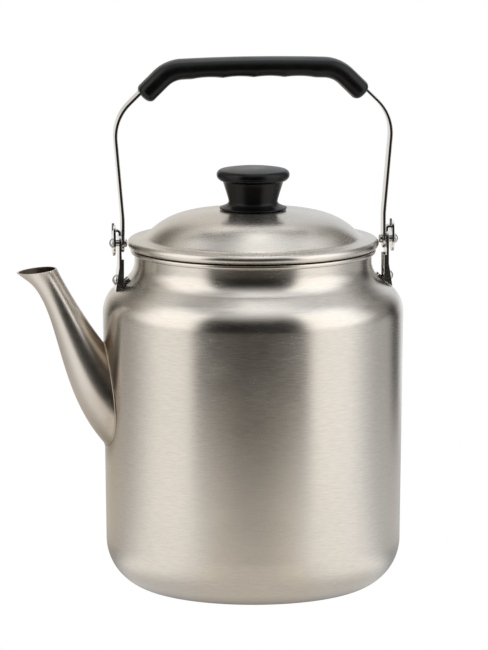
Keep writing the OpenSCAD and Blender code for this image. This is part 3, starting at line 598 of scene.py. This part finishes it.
# ---------------------------------------------------------------- knob
# Its line in (r, z) from the middle of its foot: the foot's edge, a hollow sweep up to the waist, the flared
# stem, the cap's underside, the cap's rounded edge and its crown
FOOT, FOOT_EDGE = [(0, 0), (10, 0), (22.3, 0)], arc((22.5, 0.4), 0.4, -90, 60, 6)[1:]
SWEEP = [(21.6, 1.15), (20.4, 1.65), (19.2, 2.15), (18.0, 2.8), (17.2, 3.5), (16.75, 4.25), (16.62, 5.0)]
STEM = [(16.9, 6.6), (18.2, 11.0), (19.6, 15.4), (20.6, 18.6)]
UNDER_CAP = [(20.95, 18.95), (21.6, 19.05), (22.5, 19.35)]
CAP_EDGE = arc((21.2, 22.9), 3.6, -62, 0, 8) + arc((21.2, 23.0), 3.6, 0, 76, 12)
CROWN = [(19.0, 27.0), (15.0, 27.55), (10.0, 27.9), (5.0, 28.05), (0, 28.1)]
knob_line = FOOT + FOOT_EDGE + SWEEP + STEM + UNDER_CAP + CAP_EDGE + CROWN
knob = revolve("knob", [(r, z + CROWN_TOP + FIXED_GAP) for r, z in knob_line], 160, 40)
flip_out(knob)


# ---------------------------------------------------------------- bail grip
GRIP_Z, GRIP_H, GRIP_W, GRIP_END = 356.8, 14.0, 22.0, 10.5
BEND_R, BEND_X, SLANT = 22.0, 47.56, 44.5
GROOVES, PITCH, DEPTH = 4, 21.0, 0.85
GRIP_BOW, GRIP_SQUARE = 0.9, 2.6


def grip_path():
    """Stations along the grip's right half: (x, z, angle down from +X)."""
    out = []
    for i in range(49):
        x = BEND_X * i / 48
        out.append((x, GRIP_Z, 0.0))
    for i in range(1, 13):
        a = math.radians(SLANT * i / 12)
        out.append((BEND_X + BEND_R * math.sin(a), GRIP_Z - BEND_R * (1 - math.cos(a)), a))
    a = math.radians(SLANT)
    x, z, _ = out[-1]
    for i in range(1, 7):
        s = GRIP_END * i / 6
        out.append((x + s * math.cos(a), z - s * math.sin(a), a))
    return out


def grip_ring(x, z, a, scale, groove, n=56):
    """Section of the grip, a flat oval whose underside is hollowed by groove mm."""
    ring = []
    flat = (GRIP_W - GRIP_H) / 2
    r = GRIP_H / 2
    for i in range(n):
        b = 2 * math.pi * i / n
        cy, sz = math.cos(b), math.sin(b)
        y = (flat * math.copysign(min(1, abs(cy) * 1.6), cy) + r * cy) * scale
        up = r * sz * scale
        if sz < 0:
            up += groove * abs(sz) ** 0.6
        ring.append((x + up * math.sin(a), y, z + up * math.cos(a)))
    return ring


def bowed(ring, x):
    """The moulded grip is bowed: its ends hang a little below its middle."""
    drop = GRIP_BOW * min(1.0, (x / BEND_X) ** 2)
    return [(p[0], p[1], p[2] - drop) for p in ring]


def groove_at(x):
    """Depth of the finger grooves at x: round hollows with soft ridges between them."""
    edge = GROOVES * PITCH / 2
    if abs(x) > edge:
        return 0.0
    u = ((x + edge) / PITCH) % 1.0
    return DEPTH * (1 - (2 * u - 1) ** 2)


half = grip_path()
END_RINGS = 10
end_x, end_z, end_a = half[-1]
sides = []
for side in (-1, 1):
    rings = [bowed(grip_ring(side * x, z, side * a, 1.0, groove_at(side * x)), x) for x, z, a in half]
    for i in range(END_RINGS + 1):
        b = math.pi / 2 * i / END_RINGS
        step = GRIP_SQUARE + (GRIP_H / 2 - GRIP_SQUARE) * math.sin(b)
        x, z = end_x + step * math.cos(end_a), end_z - step * math.sin(end_a)
        rings.append(bowed(grip_ring(side * x, z, side * end_a, max(0.02, math.cos(b) ** 0.8), 0), x))
    sides.append(rings)
grip = loft("grip", sides[0][::-1] + sides[1][1:], 60, cap=True)
flip_out(grip)


# ---------------------------------------------------------------- lugs
# The ear's tips are what lies beyond EAR_X and EAR_Y above EAR_Z, and their lift grows over EAR_FADE
EAR_X, EAR_Y, EAR_Z, EAR_FADE, EAR_LIFT = 93.4, 4.2, 243.2, 3.5, 2.0
FLANGE_TOP, FLANGE_LIFT, LEG_X, NEAR = 225.5, 2.3, 91.0, 0.3


def lug_shape(x, y, z):
    """Lift in mm: the ear's tips stand a little higher, and the side flanges reach up under the strip's end."""
    if x > EAR_X and y > EAR_Y and z > EAR_Z:
        u = min(1.0, (z - EAR_Z) / EAR_FADE)
        return EAR_LIFT * u * u * (3 - 2 * u)
    if x < LEG_X and abs(z - FLANGE_TOP) < NEAR:
        return FLANGE_LIFT
    return 0.0


# ---------------------------------------------------------------- pieces in place
place(body, "kettle", "body_shell", body_steel)
place(spout, "kettle", "spout", spout_steel)
# the inner faces take the dark inside material, which carries painted shade
spout.data.materials.append(spout_inside)
for p in spout.data.polygons:
    if p.index >= len(seam) * (len(outer) + 2):
        p.material_index = 1
place(weld, "kettle", None, spout_steel)
place(lid, "lid", "lid_shell", lid_steel)
place(knob, "lid", "lid_knob", knob_black)
place(grip, "bail", "bail_grip", grip_black)
for side in ("front", "rear"):
    place(softened(side + "_lug", 0.28, reshape=lug_shape), "kettle", side + "_lug", lug_steel)
    place(softened(side + "_foot_rivet", 0.2), "kettle", side + "_foot_rivet", rivet_steel)
    place(softened(side + "_pivot_rivet", 0.2), "kettle", side + "_pivot_rivet", rivet_steel)
place(softened("bail_strip", 0.35), "bail", "bail_strip", strip_steel)
# these keep their CAD form
for node, mat in (("front_lug_bracket", lug_steel), ("rear_lug_bracket", lug_steel), ("lid_collar", lid_steel),
                  ("knob_insert", brass), ("knob_screw", rivet_steel), ("knob_washer", rivet_steel)):
    ob = nodes[node]
    ob.data.materials.clear()
    ob.data.materials.append(mat)


# ---------------------------------------------------------------- floor, light and camera
CAMERA_TURN = 7.0
DEGREES = 57.2958
# The two halves of the studio meet softly across this width of x
LEFT_HALF = (-0.02, 0.02)


def ramp_up(n, value, a, b):
    return n.span(value, a, b, 0.0, 1.0, True)


def ramp_down(n, value, a, b):
    return n.span(value, a, b, 1.0, 0.0, True)


def window(n, value, a, b, c, d):
    """Rises from 0 at a to 1 at b, falls from 1 at c to 0 at d."""
    return n.math("MULTIPLY", ramp_up(n, value, a, b), ramp_down(n, value, c, d))


def weighted(n, *terms):
    """Sum of products; every term is a tuple of factors."""
    total = None
    for term in terms:
        product = term[0]
        for factor in term[1:]:
            product = n.math("MULTIPLY", product, factor)
        total = product if total is None else n.math("ADD", total, product)
    return total


def times(n, *factors):
    return weighted(n, factors)


def less(n, share, value):
    """1 - share * value"""
    return n.math("SUBTRACT", 1.0, n.math("MULTIPLY", share, value))


# Where the parts of the studio's light begin and end, in degrees away from the camera's side and in degrees above
# the horizon. Two numbers are the ends of one ramp; four are a rise and a fall
AWAY = {
    "panel_inner": (37, 48), "panel_outer": (72, 110), "flank": (80, 110), "behind": (150, 164),
    "dark_gap": (122, 134, 140, 150), "high_gap": (130, 142, 156, 166), "strip": (142, 152, 156, 168),
    "back_top": (150, 172), "near": (20, 40), "warm": (95, 130), "cool_side": (50, 95, 108, 130),
    "cool_back": (140, 160),
}
ELEV = {
    "low": (-9, 1), "panel_lean": (-2, 14), "panel_low": (-5, 6, 34, 50), "panel": (46, 68), "dark_gap": (4, 25),
    "high_gap": (22, 30, 36, 48), "strip": (14, 28), "flank_high": (28, 44), "flank": (50, 75), "back": (26, 46),
    "back_top": (44, 57, 78, 92), "side": (58, 80), "near": (20, 45), "warm": (30, 60), "cool": (30, 65),
    "cool_back": (20, 50),
}
# The overhead box begins and is full at these elevations, over the camera's side and behind
OVERHEAD_FROM, OVERHEAD_FULL = (27, 38), (84, 60)
# The panels' outer edge leans in towards the top, and the left one stands further round, both in degrees
PANEL_LEAN, LEFT_SHIFT = -10.0, -2.0
# Levels of light
AMBIENT, PANEL, PANEL_LOW, OVERHEAD, BACK, BACK_TOP = 0.010, 1.14, 0.42, 1.24, 0.5, 0.50
FLANK, FLANK_LOW, FLANK_HIGH, FLANK_STRIP = 0.27, 0.20, 0.30, 0.22
# Shares by which one part weakens another
LEFT_PANEL_LESS, LEFT_LOW_LESS, DARK_GAP_LESS, HIGH_GAP_LESS, SIDE_LESS = 0.10, 0.45, 0.95, 0.5, 0.5


def studio_light(n, away, elev, left, blob):
    """Radiance of the studio by degrees away from the camera's side and degrees above the horizon:
    a dark camera side between two tall panels, a wide box overhead, grey flanks and a pale back wall.
    left is 1 on the photo's left, and blob holds the soft dark patches in the overhead box."""
    low = ramp_down(n, elev, *ELEV["low"])
    flank = ramp_up(n, away, *AWAY["flank"])
    behind = ramp_up(n, away, *AWAY["behind"])
    back = times(n, behind, ramp_down(n, elev, *ELEV["back"]))
    dark_gap = times(n, window(n, away, *AWAY["dark_gap"]), ramp_down(n, elev, *ELEV["dark_gap"]))
    high_gap = times(n, window(n, away, *AWAY["high_gap"]), window(n, elev, *ELEV["high_gap"]))
    inner = n.math("ADD", n.math("MULTIPLY", left, LEFT_SHIFT), away)
    leaning = n.math("ADD", away, n.span(elev, *ELEV["panel_lean"], 0.0, PANEL_LEAN, True))
    panel = times(n, ramp_up(n, inner, *AWAY["panel_inner"]), ramp_down(n, leaning, *AWAY["panel_outer"]))
    panel_level = weighted(n, (PANEL, less(n, LEFT_PANEL_LESS, left)),
                           (PANEL_LOW, window(n, elev, *ELEV["panel_low"])))
    flank_level = weighted(n, (FLANK, 1.0), (FLANK_LOW, low, less(n, LEFT_LOW_LESS, left)),
                           (FLANK_HIGH, ramp_up(n, elev, *ELEV["flank_high"])),
                           (FLANK_STRIP, window(n, away, *AWAY["strip"]), ramp_down(n, elev, *ELEV["strip"])))
    side = n.math("SUBTRACT", flank, behind, True)
    box_from, box_full = (n.span(behind, 0, 1, *ends) for ends in (OVERHEAD_FROM, OVERHEAD_FULL))
    overhead = times(n, ramp_up(n, elev, box_from, box_full),
                     less(n, SIDE_LESS, times(n, side, ramp_down(n, elev, *ELEV["side"]))))
    return weighted(
        n,
        (AMBIENT, 1.0),
        (AMBIENT, low),
        (panel, panel_level, ramp_down(n, elev, *ELEV["panel"])),
        (flank, flank_level, less(n, DARK_GAP_LESS, dark_gap), less(n, HIGH_GAP_LESS, high_gap),
         ramp_down(n, elev, *ELEV["flank"])),
        (BACK, back),
        (OVERHEAD, overhead, blob),
        (BACK_TOP, ramp_up(n, away, *AWAY["back_top"]), window(n, elev, *ELEV["back_top"])),
    )


# Colours of the light, all with the same red, and what brings that red to 1
RED = 0.89
WARM_LIGHT, NEUTRAL_LIGHT, COOL_LIGHT = (RED, 0.830, 0.730), (RED, 0.886, 0.878), (RED, 0.935, 0.99)
COLOUR_GAIN = 1 / RED


def light_colour(n, away, elev, left):
    """Warm from the camera's side and the far left, neutral from the panels, cooler overhead and at the right."""
    cool = weighted(n, (0.55, less(n, 1.0, left), window(n, away, *AWAY["cool_side"])),
                    (0.6, ramp_up(n, elev, *ELEV["cool"])),
                    (0.7, ramp_up(n, away, *AWAY["cool_back"]), ramp_down(n, elev, *ELEV["cool_back"])))
    near = times(n, ramp_down(n, away, *AWAY["near"]), ramp_down(n, elev, *ELEV["near"]))
    warm = weighted(n, (0.55, near),
                    (left, ramp_up(n, away, *AWAY["warm"]), ramp_down(n, elev, *ELEV["warm"])))
    place_on_ramp = weighted(n, (0.5, 1.0), (0.5, cool), (-0.5, warm))
    return n.ramp(place_on_ramp, [(0.0, WARM_LIGHT), (0.5, NEUTRAL_LIGHT), (1.0, COOL_LIGHT)])


def azimuth(n, x, y):
    """Degrees away from the camera's side: 0 in front, 180 behind."""
    return n.math("MULTIPLY", n.math("ARCTAN2", n.math("ABSOLUTE", x), n.math("MULTIPLY", y, -1.0)), DEGREES)


def white_when_seen(name, other):
    """Stage material: plain white to the camera, and other(m) to every other ray."""
    m = Nodes(name)
    path = m.node("LightPath")
    seen = m.node("Emission", None, Color=(1, 1, 1, 1), Strength=1.0)
    mix = m.node("MixShader", None, i0=path.outputs["Is Camera Ray"], i1=other(m), i2=seen.outputs[0])
    m.t.links.new(mix.outputs[0], m.out.inputs[0])
    m.t.nodes.remove(m.p)
    return m.mat


# The table: its edge and where it fades, in metres; its levels of light; and, in metres from the kettle's axis, the
# shade under the kettle, the stretch that the panels reach, and the shade behind
TABLE_EDGE, EDGE_BEFORE, EDGE_AFTER, EDGE_REACH = 0.74, 0.35, 0.11, (0.05, -0.08)
TABLE, TABLE_SIDE, TABLE_FAR, TABLE_UNDER, TABLE_BEHIND = 0.66, 0.40, -0.05, -0.45, -0.24
UNDER_R, SIDE_LIT_R, BEHIND_R = (0.066, 0.090), (0.092, 0.130), (0.13, 0.27)
TABLE_SIDE_AWAY, TABLE_FAR_AWAY, TABLE_BEHIND_AWAY = (2, 54, 70, 108), (80, 120), (70, 110)
# Beyond the edge: the elevation whose light the floor shows, and a faint glow that fades with the distance
FLOOR_ELEV, FLOOR_GLOW, FLOOR_GLOW_R = -9.0, 0.03, (0.85, 1.15)


def table_light(m):
    """A white table, brightest towards the side panels; beyond its edge the studio's own dark floor."""
    pos = m.node("NewGeometry").outputs["Position"]
    turned = m.node("Mapping", None, Vector=pos, Rotation=(0, 0, math.radians(CAMERA_TURN))).outputs[0]
    x, y, _ = m.node("SeparateXYZ", None, i0=turned).outputs
    r = m.radius(x, y)
    away = azimuth(m, x, y)
    left = ramp_down(m, x, *LEFT_HALF)
    side = times(m, window(m, away, *TABLE_SIDE_AWAY), ramp_up(m, r, *SIDE_LIT_R))
    lit = weighted(m, (TABLE, 1.0), (TABLE_SIDE, side), (TABLE_FAR, ramp_up(m, away, *TABLE_FAR_AWAY)),
                   (TABLE_UNDER, ramp_down(m, r, *UNDER_R)),
                   (TABLE_BEHIND, ramp_up(m, away, *TABLE_BEHIND_AWAY), ramp_down(m, r, *BEHIND_R)))
    beyond = weighted(m, (studio_light(m, away, FLOOR_ELEV, left, 1.0), 1.0),
                      (FLOOR_GLOW, ramp_down(m, r, *FLOOR_GLOW_R)))
    reach = m.math("ADD", r, m.span(away, 0, 40, *EDGE_REACH, True))
    edge = ramp_up(m, reach, TABLE_EDGE - EDGE_BEFORE, TABLE_EDGE + EDGE_AFTER)
    level = weighted(m, (COLOUR_GAIN, lit, less(m, 1.0, edge)), (COLOUR_GAIN, beyond, edge))
    return m.node("Emission", None, Color=light_colour(m, away, FLOOR_ELEV, left), Strength=level).outputs[0]


FLOOR_Z, FLOOR_SIZE = -0.0002, 60
bpy.ops.mesh.primitive_plane_add(size=1, location=(0, 0, FLOOR_Z))
floor = bpy.context.object
floor.name = "floor"
floor.scale = (FLOOR_SIZE, FLOOR_SIZE, 1)
floor.data.materials.append(white_when_seen("floor_white", table_light))

world = bpy.data.worlds.new("studio")
bpy.context.scene.world = world
world.use_nodes = True
wt = world.node_tree
wt.nodes.clear()


class WorldNodes(Nodes):
    """The same short way, on the world's node tree."""

    def __init__(self, tree):
        self.t = tree


w = WorldNodes(wt)
out = wt.nodes.new("ShaderNodeOutputWorld")
direction = w.node("TexCoord").outputs["Generated"]
turned = w.node("Mapping", None, Vector=direction, Rotation=(0, 0, math.radians(CAMERA_TURN))).outputs[0]
x, y, z = w.node("SeparateXYZ", None, i0=turned).outputs
away = azimuth(w, x, y)
elev = w.math("MULTIPLY", w.math("ARCSINE", z), DEGREES)
left = ramp_down(w, x, *LEFT_HALF)


def gap_towards(n, vec, away_deg, elev_deg, inner, outer, depth):
    """A soft dark patch in the light, round one direction; a negative azimuth is the photo's left."""
    a, e = math.radians(away_deg), math.radians(elev_deg)
    towards = (math.sin(a) * math.cos(e), -math.cos(a) * math.cos(e), math.sin(e))
    dot = n.node("VectorMath", {"operation": "DOT_PRODUCT"}, i0=vec, i1=towards).outputs["Value"]
    return less(n, depth, ramp_up(n, dot, math.cos(math.radians(outer)), math.cos(math.radians(inner))))


# Degrees away and above, inner and outer size in degrees, and depth
PATCHES = ((-139, 69, 5, 17, 0.6), (-60, 66, 3, 18, 0.45))
blob = times(w, *(gap_towards(w, turned, *patch) for patch in PATCHES))
room = w.node("Background", None, Color=light_colour(w, away, elev, left),
              Strength=w.math("MULTIPLY", studio_light(w, away, elev, left, blob), COLOUR_GAIN))
white = w.node("Background", None, Color=(1, 1, 1, 1), Strength=1.0)
path = w.node("LightPath")
mix = w.node("MixShader", None, i0=path.outputs["Is Camera Ray"], i1=room.outputs[0], i2=white.outputs[0])
wt.links.new(mix.outputs[0], out.inputs[0])

# camera: long lens, raised 8.4 degrees at the rim, turned with the photo
RIM_Z, DISTANCE, RAISED = 234.0, 4500.0, math.radians(8.4)
PX_PER_MM, AXIS_PX, RIM_PX = 1.473, 253.2, 246.5
WIDTH_PX, HEIGHT_PX = 488, 650
SENSOR_MM, CLIP_END = 36.0, 50
focal = PX_PER_MM * DISTANCE
eye = Vector((0, -DISTANCE * math.cos(RAISED), RIM_Z + DISTANCE * math.sin(RAISED)))
pitch = RAISED - math.atan((RIM_PX - HEIGHT_PX / 2) / focal)
pan = math.atan((AXIS_PX - WIDTH_PX / 2) / focal)
forward = Vector((-math.sin(pan) * math.cos(pitch), math.cos(pan) * math.cos(pitch), -math.sin(pitch)))
right = Vector((math.cos(pan), math.sin(pan), 0))
up = right.cross(forward)
turn = Matrix.Rotation(math.radians(-CAMERA_TURN), 4, "Z")
cam_data = bpy.data.cameras.new("camera")
cam_data.sensor_fit = "VERTICAL"
cam_data.sensor_height = SENSOR_MM
cam_data.lens = focal / HEIGHT_PX * SENSOR_MM
cam_data.clip_end = CLIP_END
cam = bpy.data.objects.new("camera", cam_data)
bpy.context.scene.collection.objects.link(cam)
basis = Matrix((right, up, -forward)).transposed().to_4x4()
cam.matrix_world = turn @ (Matrix.Translation(eye * MM) @ basis)
bpy.context.scene.camera = cam
bpy.context.scene.view_settings.view_transform = "Standard"
